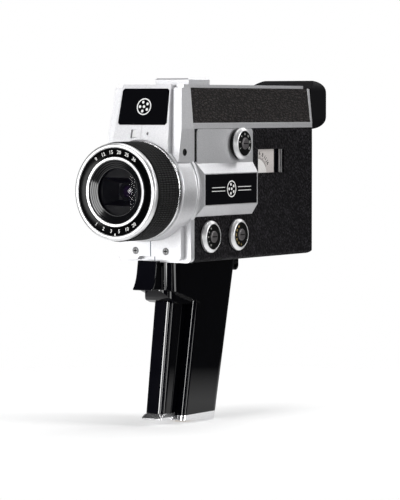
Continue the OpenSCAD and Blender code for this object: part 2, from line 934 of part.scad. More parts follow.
module block(inset) {
    block_layer(block_half_w, -32, 8.6)
        polygon([[-33, body_z], [5.6, body_z], [-0.9, 73.4], [-31, 82.6], [-33, 82.6]]);
    block_layer(web_half_w, -31.4, 8)
        polygon([
            [-33, 83], [-31.4, 82], [-30.4, 80.2], [-28.4, 77.8], [-25.4, 75.6], [-21, 74],
            [-14, 73.2], [-1.4, 72.6], [-0.6, 75], [-20, 84]
        ]);
}

slot_half_w = trigger_half_w + 0.1;
trigger_travel = 3;
spring_z = 87.5;
spring_r = 2.6;
switch_z = 93.4;
slot_back = -19;

module trigger_housing() {
    color("black")
        difference() {
            block(0);
            // slot that the trigger slides in, open to the front and above it
            across(-slot_half_w, slot_half_w)
                polygon([
                    [-40, 82.6], [-24, 82.6], [slot_back, 82.6], [slot_back, 97.1], [-29.4, 97.1],
                    [-29.4, body_z + 1], [-40, body_z + 1]
                ]);
            // seat of the spring and pocket of the switch
            pin_y(slot_back - 1, slot_back + 2, spring_r + 0.5, 0, spring_z);
            box([-6.5, slot_back - 1, switch_z - 3.1], [6.5, slot_back + 8, switch_z + 3.1]);
        }
}

module trigger() {
    color("black")
        difference() {
            across(-trigger_half_w, trigger_half_w)
                polygon([
                    [-38.9, 100.6], [-35.6, 100.6], [-33.4, 97], [-25.4, 97], [-25.4, 82.7],
                    [-44, 82.7], [-44.6, 83.2], [-43.4, 84.7], [-42.1, 86.9], [-41, 89.6], [-40.2, 92.6],
                    [-39.6, 96]
                ]);
            // seat of the spring
            pin_y(-29, -25, spring_r + 0.5, 0, spring_z);
        }
}

// A square-wire compression spring: an arc of a ring, carried up a screw line.
module trigger_spring() {
    free_l = slot_back + 2 + 29;
    turns = 6;
    color("silver")
        translate([0, -29, spring_z]) rotate([-90, 0, 0])
            linear_extrude(free_l - 0.1, twist = 360 * turns, $fn = 24)
                polygon([
                    for (a = [0 : 32 : 96]) spring_r * [cos(a), sin(a)],
                    for (a = [96 : -32 : 0]) (spring_r - 0.6) * [cos(a), sin(a)]
                ]);
}

module trigger_switch() {
    color("dimgray")
        box([-6.4, slot_back + 0.1, switch_z - 3], [6.4, slot_back + 7.9, switch_z + 3]);
    color("crimson")
        box([-1.4, slot_back - 3.3, switch_z - 1.4], [1.4, slot_back + 0.1, switch_z + 1.4]);
}

// The sole plane of the two feet falls slightly to the back.
sole_fall = 0.066;
sole_mid_z = 0.35;

module foot_slice(z) {
    translate([-7.4, 0, z]) linear_extrude(0.01)
        polygon([
            [0.9, -35.3], [13.9, -35.3], [14.8, -34.4], [14.8, grip_front_y], [0, grip_front_y], [0, -34.4]
        ]);
}

module front_foot() {
    color("silver")
        difference() {
            hull() {
                column_slice(column_foot_z - 0.01, 0);
                foot_slice(3.9);
                foot_slice(0);
            }
            sole_cut();
            box([-30, grip_front_y - 1.2, -10], [30, 30, 20]);
        }
}

module sole_cut() {
    across(-30, 30)
        polygon([[-60, -20], [60, -20], [60, sole_mid_z - 60 * sole_fall], [-60, sole_mid_z + 60 * sole_fall]]);
}

module rear_foot() {
    color("silver")
        difference() {
            grip_solid(0, -4, grip_foot_z);
            sole_cut();
            translate([0, 0, -5]) cylinder(h = 20, r = 5);
        }
}

module tripod_bush() {
    color("goldenrod")
        difference() {
            union() {
                cylinder(h = 9, r = 5);
                translate([0, 0, grip_foot_z]) cylinder(h = 1.4, r = 8);
            }
            translate([0, 0, -1]) cylinder(h = 9, r = socket_r);
        }
}

battery_r = 9.1;
module battery() {
    color("seagreen")
        translate([0, 6.4, 14]) rotate([-11.8, 0, 0]) cylinder(h = 65, r = battery_r);
}

// ---- strap lug and screws ----

lug_y = 59.6;
lug_z = 93.6;
module strap_lug() {
    color("black")
        difference() {
            union() {
                pin_x(-1.6, 1.6, 3.4, lug_y, lug_z);
                across(-1.6, 1.6) square_at(lug_y - 3.4, lug_z, lug_y + 3.4, body_z);
            }
            pin_x(-3, 3, 1.8, lug_y, lug_z);
        }
}

// A pan-head screw along +Y with a cross recess in its head.
module cross_screw(l) {
    difference() {
        union() {
            rotate([-90, 0, 0])
                rotate_extrude()
                    polygon([[0, -0.5], [screw_head_r - 0.7, -0.5], [screw_head_r, 0], [screw_head_r, 0.6], [0, 0.6]]);
            translate([0, l, 0]) rotate([90, 0, 0]) cylinder(h = l, r = screw_r);
        }
        for (a = [0, 90]) rotate([0, a, 0]) box([-1.3, -1, -0.28], [1.3, 0.3, 0.28]);
    }
}

module casing_screws() {
    color("silver") {
        for (s = [-1, 1]) {
            translate([s * front_screw_x, low_plate_y, front_screw_z]) cross_screw(4);
            translate([s * 26.5, side_screw_y, side_screw_z]) rotate([0, 0, s * 90]) cross_screw(4);
        }
    }
}

front_casing_left();
front_casing_right();
side_cover_left();
side_cover_right();
top_cover();
top_plate();
leather_inlays();
control_pod();
pod_nameplate();
front_nameplate();
lens_collar();
lens_barrel();
zoom_grip();
zoom_sleeve();
front_bezel();
name_ring();
trim_ring();
lens_cone();
front_glass();
light_baffle();
taking_lens_barrel();
taking_lens_glass();
sensor_board();
main_board();
port_sockets();
upper_knob();
upper_dial();
upper_knob_cap();
front_knob();
front_dial();
front_knob_cap();
rear_knob();
rear_dial();
rear_knob_cap();
rotary_switches();
gauge_window();
gauge_housing();
gauge_face();
gauge_needle();
eyepiece_tube();
eyecup();
eyepiece_lens();
finder_display();
grip_left();
grip_right();
grip_column();
front_foot();
rear_foot();
trigger_housing();
trigger();
trigger_spring();
trigger_switch();
battery();
tripod_bush();
zoom_rocker();
power_slider();
port_flap();
strap_lug();
casing_screws();
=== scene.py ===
"""A pistol-grip cine camera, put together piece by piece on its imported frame."""
import math

import bmesh
import bpy
import numpy as np
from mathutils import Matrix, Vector


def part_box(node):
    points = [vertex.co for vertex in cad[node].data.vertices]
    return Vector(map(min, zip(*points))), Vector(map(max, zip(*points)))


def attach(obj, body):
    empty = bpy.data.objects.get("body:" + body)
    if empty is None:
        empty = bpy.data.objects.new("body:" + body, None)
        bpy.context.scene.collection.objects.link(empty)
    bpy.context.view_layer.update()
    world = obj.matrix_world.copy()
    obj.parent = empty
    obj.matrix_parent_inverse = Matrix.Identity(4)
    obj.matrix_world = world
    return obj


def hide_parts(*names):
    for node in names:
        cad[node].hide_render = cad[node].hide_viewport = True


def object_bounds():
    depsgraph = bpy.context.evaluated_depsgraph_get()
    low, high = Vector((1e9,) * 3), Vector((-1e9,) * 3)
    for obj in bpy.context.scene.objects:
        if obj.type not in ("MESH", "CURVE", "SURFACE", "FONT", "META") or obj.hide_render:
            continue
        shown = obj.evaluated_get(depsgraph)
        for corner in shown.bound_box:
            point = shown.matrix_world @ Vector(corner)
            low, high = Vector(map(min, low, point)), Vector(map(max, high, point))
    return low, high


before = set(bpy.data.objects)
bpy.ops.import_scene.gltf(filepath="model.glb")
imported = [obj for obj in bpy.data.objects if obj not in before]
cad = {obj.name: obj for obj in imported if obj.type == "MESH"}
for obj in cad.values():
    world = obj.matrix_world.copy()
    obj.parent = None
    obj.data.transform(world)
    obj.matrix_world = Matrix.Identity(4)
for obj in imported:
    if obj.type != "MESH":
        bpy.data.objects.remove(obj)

cad_low, cad_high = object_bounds()
scene = bpy.context.scene

# ---- Camera and studio ----
# A long lens stands well back, level with the body, on the side of the knobs. Soft boxes in front,
# beside, above and behind light the whole camera, and two tall strips light only its gloss plastic.
# The floor is pale board that fades into a white backdrop.

azimuth, elevation = math.radians(33.0), math.radians(2.968)
target = Vector((0, 0.020, 0.1046))
back = Vector((math.sin(azimuth) * math.cos(elevation),
               -math.cos(azimuth) * math.cos(elevation), math.sin(elevation)))
viewer = bpy.data.objects.new("viewer", bpy.data.cameras.new("viewer"))
viewer.data.lens = 198.0
viewer.data.clip_start, viewer.data.clip_end = 0.05, 20
viewer.location = target + back * 1.725
viewer.rotation_euler = (-back).to_track_quat("-Z", "Y").to_euler()
scene.collection.objects.link(viewer)
scene.camera = viewer
scene.view_settings.view_transform = "Standard"


def soft_box(name, place, aim, width, height, watts):
    """An area light at place, turned to face aim."""
    lamp = bpy.data.lights.new(name, "AREA")
    lamp.shape, lamp.size, lamp.size_y, lamp.energy = "RECTANGLE", width, height, watts
    holder = bpy.data.objects.new(name, lamp)
    holder.location = place
    holder.rotation_euler = (Vector(aim) - Vector(place)).to_track_quat("-Z", "Y").to_euler()
    scene.collection.objects.link(holder)
    return holder


soft_box("front_box", (-0.25, -1.3, 0.25), (0, 0, 0.13), 0.8, 0.8, 17)
soft_box("side_box", (1.1, 0.45, 0.55), (0, 0.04, 0.15), 0.5, 0.6, 7.5)
soft_box("overhead_box", (0, 0.1, 1.2), (0, 0.03, 0.1), 0.9, 0.9, 7)
strip = soft_box("grip_strip", (-0.42, -1.05, 0.28), (0, 0, 0.05), 0.30, 0.75, 40)
near_strip = soft_box("near_strip", (0.30, -1.15, 0.28), (0, 0, 0.05), 0.10, 0.75, 9)
glossy_parts = bpy.data.collections.new("glossy_parts")
strip.light_linking.receiver_collection = glossy_parts
near_strip.light_linking.receiver_collection = glossy_parts
soft_box("right_strip", (0.98, -0.62, 0.02), (0, 0, 0.04), 0.03, 0.4, 0.4)
soft_box("low_box", (1.2, -0.15, 0.08), (0, 0, 0.12), 0.3, 0.2, 2.0)
soft_box("back_box", (-0.9, 0.9, 0.5), (0, 0.05, 0.12), 0.6, 0.6, 1.6)
soft_box("rear_box", (0.12, 1.1, 0.95), (0, 0.05, 0.14), 0.9, 0.5, 4.4)

sky = bpy.data.worlds.new("studio")
scene.world = sky
sky.use_nodes = True
seen = sky.node_tree.nodes["Background"]
seen.inputs["Color"].default_value = (1, 1, 1, 1)
ambient = sky.node_tree.nodes.new("ShaderNodeBackground")
ambient.inputs["Color"].default_value = (0.95, 0.97, 1, 1)
ambient.inputs["Strength"].default_value = 0.055
which = sky.node_tree.nodes.new("ShaderNodeMixShader")
ray = sky.node_tree.nodes.new("ShaderNodeLightPath")
sky.node_tree.links.new(ray.outputs["Is Camera Ray"], which.inputs["Fac"])
sky.node_tree.links.new(ambient.outputs[0], which.inputs[1])
sky.node_tree.links.new(seen.outputs[0], which.inputs[2])
sky.node_tree.links.new(which.outputs[0], sky.node_tree.nodes["World Output"].inputs["Surface"])


class Shade:
    """A socket in a material's node tree. Arithmetic adds Math nodes; add() adds any other node."""

    def __init__(self, tree, socket=None):
        self.tree, self.socket = tree, socket

    def add(self, kind, settings=None, out=0, **values):
        """A node of this kind, its settings made first, then its inputs by name, or i0, i1 and so
        on by number, each a value or a link. Returns its output number out."""
        node = self.tree.nodes.new("ShaderNode" + kind)
        for key, value in (settings or {}).items():
            setattr(node, key, value)
        for key, value in values.items():
            spot = node.inputs[int(key[1:]) if key[1:].isdigit() else key.replace("_", " ")]
            if isinstance(value, Shade):
                self.tree.links.new(value.socket, spot)
            else:
                spot.default_value = value
        return Shade(self.tree, node.outputs[out])

    def math(self, operation, a, b=0.0, c=0.0):
        return self.add("Math", {"operation": operation}, i0=a, i1=b, i2=c)

    def __add__(self, other):
        return self.math("ADD", self, other)

    def __sub__(self, other):
        return self.math("SUBTRACT", self, other)

    def __rsub__(self, other):
        return self.math("SUBTRACT", other, self)

    def __mul__(self, other):
        return self.math("MULTIPLY", self, other)

    def __truediv__(self, other):
        return self.math("DIVIDE", self, other)

    def __pow__(self, other):
        return self.math("POWER", self, other)

    def __gt__(self, other):
        return self.math("GREATER_THAN", self, other)

    def __lt__(self, other):
        return self.math("LESS_THAN", self, other)

    __radd__, __rmul__ = __add__, __mul__

    def mix(self, a, b):
        """Colour a where this is 0 and colour b where it is 1."""
        return self.add("Mix", {"data_type": "RGBA"}, out=2, i0=self, i6=a, i7=b)

    def bump(self, strength, height):
        """A bumped normal from this height field, where 1 stands height metres proud."""
        return self.add("Bump", Strength=strength, Distance=height, Height=self)

    def between(self, low, high):
        """1 from low to high and 0 outside."""
        return (self > low) * (self < high)


def finish(name, **constants):
    """A new material with constants on its shader's own sockets, and the start of its node maths."""
    made = bpy.data.materials.new(name)
    made.use_nodes = True
    shader = made.node_tree.nodes["Principled BSDF"]
    for key, value in constants.items():
        shader.inputs[key.replace("_", " ")].default_value = value
    return made, Shade(made.node_tree)


def feed(made, **fields):
    """Links fields that vary over the surface to a material's shader."""
    shader = made.node_tree.nodes["Principled BSDF"]
    for key, value in fields.items():
        made.node_tree.links.new(value.socket, shader.inputs[key.replace("_", " ")])
    return made


board, s = finish("floor_board", Roughness=1.0, Specular_IOR_Level=0.0, Emission_Strength=1.0,
                  Emission_Color=(0.32, 0.32, 0.32, 1))
spot = s.add("TexCoord", out=3)
away = s.add("VectorMath", {"operation": "LENGTH"}, out=1, i0=spot)
mottle = s.add("TexNoise", Vector=spot, Scale=14.0)
# solid near the camera's feet, fading out between 13 and 37 cm from the origin
feed(board, Base_Color=mottle.mix((0.82, 0.82, 0.82, 1), (0.9, 0.9, 0.9, 1)),
     Alpha=s.math("SUBTRACT", 1.55, away * 4.2))
ground, reach = cad_low.z, 9
floor_mesh = bpy.data.meshes.new("floor")
floor_mesh.from_pydata([(-reach, -reach, ground), (reach, -reach, ground), (reach, reach, ground),
                        (-reach, reach, ground)], [], [(0, 1, 2, 3)])
floor_mesh.materials.append(board)
floor = bpy.data.objects.new("floor", floor_mesh)
scene.collection.objects.link(floor)

# ---- Front casing, top cover and plate, control pod and zoom rocker ----
# Cast and moulded shells; the casing is two halves joined at the middle. All are sprayed with a
# fine aluminium paint that leaves a faint sparkle, and every edge is broken slightly. A dark line
# of painted shadow runs down the casing's joint under the lens.

seam_shadow_top = 0.1143


def aluminium(name, joint=0.0):
    """The paint. With a joint, a dark line that many metres wide is painted down x = 0 under the lens,
    up to a set height, where the two halves meet: painted shadow of the gap between them."""
    made, s = finish(name, Metallic=0.75, Specular_IOR_Level=0.5)
    place = s.add("TexCoord", out=3)
    flake = s.add("TexNoise", Vector=place, Scale=1500.0, Detail=4.0, Roughness=0.7)
    cloud = s.add("TexNoise", Vector=place, Scale=45.0, Detail=3.0)
    colour = (flake * 1.3 + cloud * 0.2 - 0.3).mix((0.50, 0.50, 0.52, 1), (0.84, 0.84, 0.85, 1))
    # the dark line down the joint is painted shadow of the gap between the two halves
    if joint:
        x = s.math("ABSOLUTE", s.add("SeparateXYZ", Vector=place))
        z = s.add("SeparateXYZ", out=2, Vector=place)
        colour = ((x < joint / 2) * (z < seam_shadow_top)).mix(colour, (0.10, 0.12, 0.15, 1))
    return feed(made, Base_Color=colour, Roughness=flake * 0.25 + 0.28,
                Normal=(flake + cloud * 1.5).bump(0.4, 0.00012))


silver, seam_shaded = aluminium("silver_paint"), aluminium("seam_shadow_paint", 0.0007)


def mounted(name, mesh, material, body="camera"):
    """A new piece that rides on a body and takes one material."""
    mesh.materials.clear()
    mesh.materials.append(material)
    piece = bpy.data.objects.new(name, mesh)
    scene.collection.objects.link(piece)
    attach(piece, body)
    return piece


def break_edges(piece, width, segments):
    """A bevel that breaks a piece's edges; the caller may limit it further."""
    edges = piece.modifiers.new("edges", "BEVEL")
    edges.width, edges.segments = width, segments
    return edges


same_point, flat_turn, on_joint = 3e-6, math.radians(0.6), 0.0002


def soften(name, material, width, body="camera", segments=3, keep=30.0, seam=0.6):
    """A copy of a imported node: doubles merged, flat regions joined, and every edge sharper than
    keep degrees rounded by width. Edges of the middle joint, at x = 0, get only seam of it."""
    mesh = cad[name].data.copy()
    shape = bmesh.new()
    shape.from_mesh(mesh)
    bmesh.ops.remove_doubles(shape, verts=shape.verts, dist=same_point)
    bmesh.ops.dissolve_limit(shape, angle_limit=flat_turn, verts=shape.verts, edges=shape.edges)
    weight = shape.edges.layers.float.new("bevel_weight_edge")
    for edge in shape.edges:
        middle = all(abs(end.co.x) < on_joint for end in edge.verts)
        if edge.calc_face_angle(0) > math.radians(keep):
            edge[weight] = seam if middle else 1.0
    shape.to_mesh(mesh)
    shape.free()
    mesh.shade_smooth()
    mesh.set_sharp_from_angle(angle=math.radians(20))
    piece = mounted(name + "_finished", mesh, material, body)
    edges = break_edges(piece, width, segments)
    edges.limit_method, edges.harden_normals = "WEIGHT", True
    flats = piece.modifiers.new("flats", "WEIGHTED_NORMAL")
    flats.keep_sharp, flats.weight = True, 100
    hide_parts(name)
    return piece


for part in ("front_casing_left", "front_casing_right"):
    soften(part, seam_shaded, 0.0006)
for part, radius in (("top_cover", 0.0003), ("top_plate", 0.0005), ("control_pod", 0.0003)):
    soften(part, silver, radius)
soften("zoom_rocker", silver, 0.0005, "rocker")

# ---- Side covers ----
# Moulded shells wrapped in coarse black leatherette, which is glued down. Its pebbles are about
# 1.5 mm wide, and the crowns of some are painted lighter, a painted sheen.

pebbled, s = finish("pebbled_leather", Specular_IOR_Level=0.10)
place = s.add("TexCoord", out=3)
warp = s.add("TexNoise", out=1, Vector=place, Scale=300.0, Detail=2.0)
bent = s.add("VectorMath", {"operation": "MULTIPLY_ADD"}, i0=warp, i1=(0.0020,) * 3, i2=place)
pebble = s.add("TexVoronoi", {"feature": "SMOOTH_F1"}, Vector=bent, Scale=640.0, Smoothness=0.35)
fine = s.add("TexNoise", Vector=place, Scale=2600.0, Detail=3.0)
sheen_patches = s.add("TexNoise", Vector=place, Scale=330.0, Detail=3.0, Roughness=0.7)
mound = 1.0 - pebble
# the pebble crowns where the patch noise is high are painted lighter: a painted sheen
crown_sheen = s.math("MAXIMUM", mound + sheen_patches * 1.2 - 1.12, 0.0)
feed(pebbled,
     Base_Color=crown_sheen.mix((0.0018, 0.0014, 0.0022, 1), (0.050, 0.045, 0.054, 1)),
     Roughness=0.62 - mound * 0.24 + fine * 0.1,
     Normal=(mound + fine * 0.12).bump(1.0, 0.0010))
for part in ("side_cover_left", "side_cover_right"):
    soften(part, pebbled, 0.0005)

# ---- Leather inlays of the upper cover ----
# Two strips of thin grained leather, brown-black, with fine slanting creases, glued into recesses.

grained, s = finish("grained_leather", Specular_IOR_Level=0.18)
place = s.add("TexCoord", out=3)
lie = s.add("Mapping", {"vector_type": "POINT"}, Vector=place, Rotation=(0.6, 0, 0),
            Scale=(1, 0.5, 1.35))
warp = s.add("TexNoise", out=1, Vector=place, Scale=200.0, Detail=3.0)
bent = s.add("VectorMath", {"operation": "MULTIPLY_ADD"}, i0=warp, i1=(0.004,) * 3, i2=lie)
crease = s.add("TexVoronoi", {"feature": "DISTANCE_TO_EDGE"}, Vector=bent, Scale=480.0)
ridge = s.math("MINIMUM", crease * 3.0, 1.0)
fine = s.add("TexNoise", Vector=place, Scale=6000.0, Detail=2.0)
feed(grained,
     Base_Color=ridge.mix((0.002, 0.0015, 0.0015, 1), (0.024, 0.019, 0.018, 1)),
     Roughness=0.6 - ridge * 0.14 + fine * 0.08,
     Normal=(ridge + fine * 0.2).bump(0.9, 0.0004))
soften("leather_inlays", grained, 0.0002, segments=2)

# ---- Grip, trigger and trigger housing ----
# Injection-moulded black plastic, polished: two halves of a grip joined along the middle, a narrow
# front column, a round-nosed housing, and the trigger with its hollow finger face.


def speckled(name, scale, detail, dark, light, rough, relief=None, **constants):
    """A finish that a fine noise n varies: its colour from dark to light and its roughness as
    rough[0] n + rough[1], with a bump of strength relief[0] and height relief[1] if given."""
    made, s = finish(name, **constants)
    n = s.add("TexNoise", Vector=s.add("TexCoord", out=3), Scale=scale, Detail=detail)
    feed(made, Base_Color=n.mix(dark + (1,), light + (1,)), Roughness=n * rough[0] + rough[1])
    if relief:
        feed(made, Normal=n.bump(*relief))
    return made


gloss = speckled("gloss_black", 70.0, 4.0, (0.0003, 0.0003, 0.0006), (0.0008, 0.0008, 0.0014),
                 (0.03, 0.025), Specular_IOR_Level=0.2)
for part, radius in (("grip_left", 0.0003), ("grip_right", 0.0003), ("grip_column", 0.0004),
                     ("trigger_housing", 0.0006)):
    glossy_parts.objects.link(soften(part, gloss, radius))
glossy_parts.objects.link(soften("trigger", gloss, 0.0007, "trigger", keep=40.0))

# ---- Nameplates ----
# Flat polished black plates let into the nose and the pod, each with a small reel mark printed in
# white, and on the pod's plate a pair of fine rules on each side of it. Below the front plate a
# small frosted pane covers the light sensor.


def reel(s, across, up, size):
    """1 on a reel of radius size: an outer ring, a hub, and five dots round it at 0.56 size."""
    far = s.math("SQRT", across * across + up * up)
    turn = s.math("ARCTAN2", up, across)
    fold = s.math("PINGPONG", turn + math.pi, math.pi / 5)
    apart = s.math("SQRT", (far * s.math("COSINE", fold) - size * 0.56) ** 2.0
                   + (far * s.math("SINE", fold)) ** 2.0)
    marks = far.between(size * 0.86, size) + (far < size * 0.17) + (apart < size * 0.17)
    return s.math("MINIMUM", marks, 1.0)


plate_black, plate_white = (0.003, 0.003, 0.004, 1), (0.85, 0.85, 0.84, 1)
reel_radius, front_reel_z, side_reel_y, side_reel_z = 0.0052, 0.1944, 0.008, 0.1438
mark_lean = math.atan2(9.7, 45.0)
plate, s = finish("front_plate", Specular_IOR_Level=0.14, Roughness=0.06)
place = s.add("TexCoord", out=3)
x = s.add("SeparateXYZ", Vector=place)
z = s.add("SeparateXYZ", out=2, Vector=place)
mark = reel(s, x, (z - front_reel_z) / math.cos(mark_lean), reel_radius)
feed(plate, Base_Color=mark.mix(plate_black, plate_white))
soften("front_nameplate", plate, 0.00015, segments=2)

plate_tilt = math.atan2(9.7, 46.9)
plate_foot_y, plate_foot_z = -0.04464, 0.1839


def on_plate(x, out, up):
    """A point of the sloping front plate: up along it from its plate's foot, out of it towards
    the front, turned back by the plate's tilt."""
    return (x, plate_foot_y - out * math.cos(plate_tilt) + up * math.sin(plate_tilt),
            plate_foot_z + out * math.sin(plate_tilt) + up * math.cos(plate_tilt))


def block(name, corners, material, edge):
    """A six-sided block with broken edges, from its eight corners, listed with z changing fastest."""
    faces = [(0, 1, 3, 2), (4, 6, 7, 5), (0, 4, 5, 1), (2, 3, 7, 6), (0, 2, 6, 4), (1, 5, 7, 3)]
    mesh = bpy.data.meshes.new(name)
    mesh.from_pydata(corners, [], faces)
    break_edges(mounted(name, mesh, material), edge, 2)


frosted = speckled("frosted_window", 1800.0, 2.0, (0.72, 0.72, 0.72), (0.8, 0.8, 0.8), (0.1, 0.35),
                   Specular_IOR_Level=0.4)
block("sensor_pane", [on_plate(x, out, up) for x in (-0.0066, -0.0037) for out in (-0.0013, -0.0006)
                      for up in (-0.0082, -0.0042)], frosted, 0.0002)

plate, s = finish("side_plate", Specular_IOR_Level=0.14, Roughness=0.06)
place = s.add("TexCoord", out=3)
y = s.add("SeparateXYZ", out=1, Vector=place)
z = s.add("SeparateXYZ", out=2, Vector=place)
y, z = y - side_reel_y, z - side_reel_z
rules = s.math("ABSOLUTE", y).between(0.0075, 0.0225) * s.math("ABSOLUTE", z).between(0.0009, 0.0013)
mark = s.math("MAXIMUM", reel(s, y, z, reel_radius), rules)
feed(plate, Base_Color=mark.mix(plate_black, plate_white))
soften("pod_nameplate", plate, 0.00015, segments=2)

# ---- Turned lens rings ----
# Lathe work: the fixed collar with its rolled lip is painted like the casing, the front bezel and
# the inner trim ring are satin, and the sleeve that carries the zoom grip is polished.

axis_z = 0.1434


def rounded(corners, radius, steps=5):
    """A closed outline with round corners: each corner c becomes the curve from a to b,
    (1-t)^2 a + 2t(1-t) c + t^2 b, where a and b lie radius along the two sides."""
    c = np.array(corners, float)
    before, after = np.roll(c, 1, 0) - c, np.roll(c, -1, 0) - c
    len_a, len_b = np.linalg.norm(before, axis=1), np.linalg.norm(after, axis=1)
    a = c + before / len_a[:, None] * np.minimum(radius, len_a * 0.45)[:, None]
    b = c + after / len_b[:, None] * np.minimum(radius, len_b * 0.45)[:, None]
    t = np.linspace(0, 1, steps)[None, :, None]
    curve = (1 - t) ** 2 * a[:, None] + 2 * t * (1 - t) * c[:, None] + t ** 2 * b[:, None]
    return curve.reshape(-1, 2)


def weave(name, points, material, body, closed_u=True):
    """A mesh over a grid of points, shape (rows, columns, 3). Columns join round, from the last to
    the first, and so do rows where closed_u is true."""
    rows, columns = points.shape[:2]
    index = np.arange(rows * columns).reshape(rows, columns)
    u = index if closed_u else index[:-1]
    up = np.roll(index, -1, 0) if closed_u else index[1:]
    right, up_right = np.roll(u, -1, 1), np.roll(up, -1, 1)
    quads = np.stack([u, right, up_right, up], -1).reshape(-1, 4)
    mesh = bpy.data.meshes.new(name)
    mesh.from_pydata(points.reshape(-1, 3), [], quads.tolist())
    shape = bmesh.new()
    shape.from_mesh(mesh)
    bmesh.ops.remove_doubles(shape, verts=shape.verts, dist=1e-7)
    bmesh.ops.recalc_face_normals(shape, faces=shape.faces)
    shape.to_mesh(mesh)
    shape.free()
    mesh.shade_smooth()
    mesh.set_sharp_from_angle(angle=math.radians(50))
    return mounted(name, mesh, material, body)


def lathe(name, outline, material, body="camera", count=160):
    """Turned about the lens axis: point(u, v) = (r cos u, y, axis_z + r sin u), outline in mm."""
    r, y = outline[:, 0, None] / 1000, outline[:, 1, None] / 1000
    u = np.linspace(0, 2 * math.pi, count, endpoint=False)[None]
    points = np.stack([r * np.cos(u), y + 0 * u, axis_z + r * np.sin(u)], -1)
    return weave(name, points, material, body)


polished = speckled("polished_metal", 300.0, 4.0, (0.66, 0.66, 0.67), (0.86, 0.86, 0.87),
                    (0.14, 0.16), Metallic=1.0)
satin_silver = speckled("satin_silver", 700.0, 4.0, (0.74, 0.74, 0.75), (0.88, 0.88, 0.88),
                        (0.12, 0.30), Metallic=0.8)

collar = lathe("lens_collar_turned", rounded(
    [(27.65, -45.7), (30.6, -45.7), (31.0, -45.1), (31.0, -30.6), (31.9, -30.2), (31.9, -27.3),
     (31.0, -27.05), (27.65, -27.05)], 0.7), silver)
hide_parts("lens_collar")
bezel = lathe("front_bezel_turned", rounded(
    [(26.4, -73.8), (26.8, -74.3), (28.3, -74.3), (29.4, -73.1), (29.4, -70.7), (28.9, -70.25),
     (27.5, -70.25), (27.5, -69.15), (26.4, -72.4)], 0.45), satin_silver)
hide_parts("front_bezel")
trim = lathe("trim_ring_turned", rounded(
    [(19.2, -73.4), (19.4, -73.8), (20.8, -73.9), (21.05, -73.6), (21.05, -70.3), (19.2, -70.3)],
    0.15), satin_silver)
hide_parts("trim_ring")
band = lathe("zoom_sleeve_turned", rounded(
    [(27.72, -69.9), (28.6, -69.9), (28.6, -49.0), (30.2, -49.0), (30.35, -48.5), (30.35, -46.9),
     (29.9, -46.3), (27.72, -46.3)], 0.35), polished, "zoom_ring")
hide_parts("zoom_sleeve")

# ---- Zoom grip ----
# A band of black rubber stretched over the zoom sleeve, moulded with fine ribs along the lens that
# narrow rounds cross.

zoom_rubber = speckled("zoom_rubber", 1800.0, 4.0, (0.001, 0.001, 0.001), (0.004, 0.004, 0.004),
                       (0.15, 0.34), Specular_IOR_Level=0.16)


def ribbed(outline, ribs, depth, low, high, per_rib=8):
    """An outline turned about the lens axis, its outer wall from low to high cut with ribs:
    r = R - depth (1 - |sin(ribs u / 2)|^0.6) where low < y < high, and at least 0.7 depth lower in
    the narrow rounds that cross the ribs every 3.1 mm."""
    u = np.linspace(0, 2 * math.pi, ribs * per_rib, endpoint=False)[None]
    r, y = outline[:, 0, None], outline[:, 1, None]
    cut = ((r > outline[:, 0].max() - 0.3) & (y > low) & (y < high)) * depth
    groove = 1 - np.abs(np.sin(ribs * u / 2)) ** 0.6
    r = (r - cut * np.maximum(groove, (np.mod(y - low, 3.1) < 0.55) * 0.7)) / 1000
    return np.stack([r * np.cos(u), y / 1000 + 0 * u, axis_z + r * np.sin(u)], -1)


along_grip = np.arange(-68.8, -50.2, 0.31)
walls = np.vstack([[(28.6, -69.9), (29.4, -69.9), (29.85, -69.7), (30, -69.3), (30, -68.9)],
                   np.stack([30 + 0 * along_grip, along_grip + 0.01], -1),
                   [(30, -49.9), (30, -49.7), (29.85, -49.3), (29.4, -49.1), (28.6, -49.1)]])
grip = weave("zoom_grip_ribbed", ribbed(walls, 132, 0.55, -68.8, -50.2), zoom_rubber,
             "zoom_ring")
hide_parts("zoom_grip")

# ---- Name ring ----
# A black anodised ring inside the bezel. A scale of focal lengths stands over the lens and one of
# distances under it, in thick white ink.

ring_black, s = finish("name_ring_black", Specular_IOR_Level=0.1)
place = s.add("TexCoord", out=3)
x = s.add("SeparateXYZ", Vector=place)
z = s.add("SeparateXYZ", out=2, Vector=place) - axis_z
notch = (s.math("ABSOLUTE", x) < 0.0004) * (z < -0.0249)
grit = s.add("TexNoise", Vector=place, Scale=3000.0, Detail=2.0)
feed(ring_black, Base_Color=notch.mix((0.0008, 0.0008, 0.001, 1), (0.8, 0.8, 0.78, 1)),
     Roughness=grit * 0.06 + 0.10)
names = lathe("name_ring_turned", rounded(
    [(21.1, -73.1), (26.35, -73.5), (26.35, -72.3), (21.1, -72.3)], 0.1), ring_black,
    count=240)
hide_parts("name_ring")


